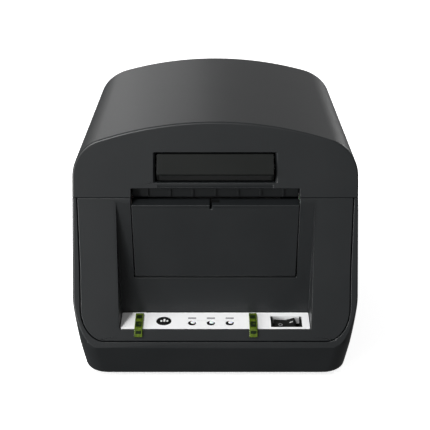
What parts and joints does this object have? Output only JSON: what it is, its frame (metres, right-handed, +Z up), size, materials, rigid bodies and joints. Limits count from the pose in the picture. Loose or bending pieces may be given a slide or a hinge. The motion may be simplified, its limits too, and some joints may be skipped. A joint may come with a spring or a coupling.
{
  "type": "thermal label printer",
  "caption": "Desktop thermal label printer with a hinged cover, a release lever, a peel flap and a front control strip.",
  "frame": {"origin": "on the table under the middle of the printer", "axes": "+X to the printer's right as its user sees it, -Y towards the user, +Z up"},
  "size_m": [0.178, 0.215, 0.155],
  "materials": {
    "black_case": "finely textured black moulding",
    "black_fitting": "satin black moulding",
    "grey_chassis": "dark grey moulding",
    "steel": "zinc-plated steel",
    "rubber": "matte black rubber",
    "white_gear": "natural acetal",
    "white_strip": "satin white plate",
    "green_guide": "translucent green moulding",
    "clear_lamp": "frosted clear lens",
    "circuit_board": "green circuit board"
  },
  "bodies": {
    "housing": {"lower_housing": "black_case", "bottom_plate": "black_case", "foot_1": "rubber", "foot_2": "rubber", "foot_3": "rubber", "foot_4": "rubber", "bottom_screw_1": "steel", "bottom_screw_2": "steel", "bottom_screw_3": "steel", "bottom_screw_4": "steel", "front_bezel": "black_case", "control_strip": "white_strip", "status_lamp_1": "clear_lamp", "status_lamp_2": "clear_lamp", "status_lamp_3": "clear_lamp", "panel_board": "circuit_board", "rocker_switch_body": "black_fitting", "liner_guide_left": "green_guide", "liner_guide_right": "green_guide", "frame_side_left": "steel", "frame_side_right": "steel", "frame_crossbar": "steel", "platen_bush_left": "white_gear", "platen_bush_right": "white_gear", "stepper_motor": "grey_chassis", "idler_post": "steel", "media_sensor": "black_fitting", "hinge_pin_left": "steel", "hinge_pin_right": "steel", "main_board": "circuit_board", "usb_socket": "steel", "power_jack": "black_fitting", "media_bay": "grey_chassis"},
    "cover": {"top_cover": "black_case", "exit_guide": "black_case", "cover_chassis": "steel", "head_pivot_pin": "steel", "head_spring_left": "steel", "head_spring_right": "steel"},
    "lever": {"release_lever": "black_case", "latch_shaft": "steel", "latch_hook_left": "steel", "latch_hook_right": "steel"},
    "head": {"head_bracket": "steel", "thermal_head": "grey_chassis"},
    "platen": {"platen_roller": "rubber", "platen_shaft": "steel", "platen_gear": "white_gear"},
    "idler": {"idler_gear": "white_gear"},
    "pinion": {"motor_pinion": "steel"},
    "flap": {"peel_flap": "black_case"},
    "flap_roller": {"peel_roller": "rubber"},
    "button": {"feed_button": "black_fitting"},
    "rocker": {"power_rocker": "black_fitting"},
    "guide_left": {"roll_guide_left": "black_fitting"},
    "guide_right": {"roll_guide_right": "black_fitting"},
    "hub_left": {"roll_hub_left": "grey_chassis"},
    "hub_right": {"roll_hub_right": "grey_chassis"},
    "rack_pinion": {"guide_pinion": "white_gear"}
  },
  "joints": [
    {"name": "cover_hinge", "type": "hinge", "parent": "housing", "child": "cover", "pos_m": [0, 0.1025, 0.112], "axis": [-1, 0, 0], "range_deg": [0, 80]},
    {"name": "lever_pull", "type": "hinge", "parent": "cover", "child": "lever", "pos_m": [0, -0.0605, 0.133], "axis": [-1, 0, 0], "range_deg": [0, 7], "stiffness_Nm_per_rad": 0.6, "springref_deg": -20.05},
    {"name": "head_float", "type": "hinge", "parent": "cover", "child": "head", "pos_m": [0, -0.026, 0.1156], "axis": [-1, 0, 0], "range_deg": [0, 2], "stiffness_Nm_per_rad": 6, "springref_deg": -5.73, "deforming": ["head_spring_left", "head_spring_right"]},
    {"name": "platen_spin", "type": "hinge", "parent": "housing", "child": "platen", "pos_m": [0, -0.057, 0.1], "axis": [1, 0, 0], "continuous": true},
    {"name": "idler_spin", "type": "hinge", "parent": "housing", "child": "idler", "pos_m": [0, -0.04819, 0.07984], "axis": [1, 0, 0], "continuous": true},
    {"name": "pinion_spin", "type": "hinge", "parent": "housing", "child": "pinion", "pos_m": [0, -0.0505, 0.063], "axis": [1, 0, 0], "continuous": true},
    {"name": "flap_hinge", "type": "hinge", "parent": "housing", "child": "flap", "pos_m": [0, -0.08007, 0.0608], "axis": [1, 0, 0], "range_deg": [0, 75]},
    {"name": "peel_roller_spin", "type": "hinge", "parent": "flap", "child": "flap_roller", "pos_m": [0, -0.0686, 0.0956], "axis": [1, 0, 0], "continuous": true},
    {"name": "feed_button_press", "type": "slide", "parent": "housing", "child": "button", "axis": [0, 0.1045, -0.9945], "range_m": [0, 0.001], "stiffness_N_per_m": 400, "springref_m": -0.001},
    {"name": "power_rocker_tilt", "type": "hinge", "parent": "housing", "child": "rocker", "pos_m": [0.0449, -0.09347, 0.03184], "axis": [0, 0.9945, 0.1045], "range_deg": [0, 16]},
    {"name": "guide_left_slide", "type": "slide", "parent": "housing", "child": "guide_left", "axis": [1, 0, 0], "range_m": [0, 0.026]},
    {"name": "guide_right_slide", "type": "slide", "parent": "housing", "child": "guide_right", "axis": [-1, 0, 0], "range_m": [0, 0.026]},
    {"name": "guide_pinion_spin", "type": "hinge", "parent": "housing", "child": "rack_pinion", "pos_m": [0, 0.0345, 0.0142], "axis": [0, 0, 1], "range_deg": [0, 200]},
    {"name": "hub_left_spin", "type": "hinge", "parent": "guide_left", "child": "hub_left", "pos_m": [-0.04, 0.0345, 0.066], "axis": [1, 0, 0], "continuous": true},
    {"name": "hub_right_spin", "type": "hinge", "parent": "guide_right", "child": "hub_right", "pos_m": [0.04, 0.0345, 0.066], "axis": [1, 0, 0], "continuous": true}
  ],
  "couplings": [
    {"joint": "idler_spin", "follows": "platen_spin", "ratio": -0.83333},
    {"joint": "pinion_spin", "follows": "platen_spin", "ratio": 2},
    {"joint": "guide_right_slide", "follows": "guide_left_slide", "ratio": 1},
    {"joint": "guide_pinion_spin", "follows": "guide_left_slide", "rad_per_m": 133.33}
  ]
}
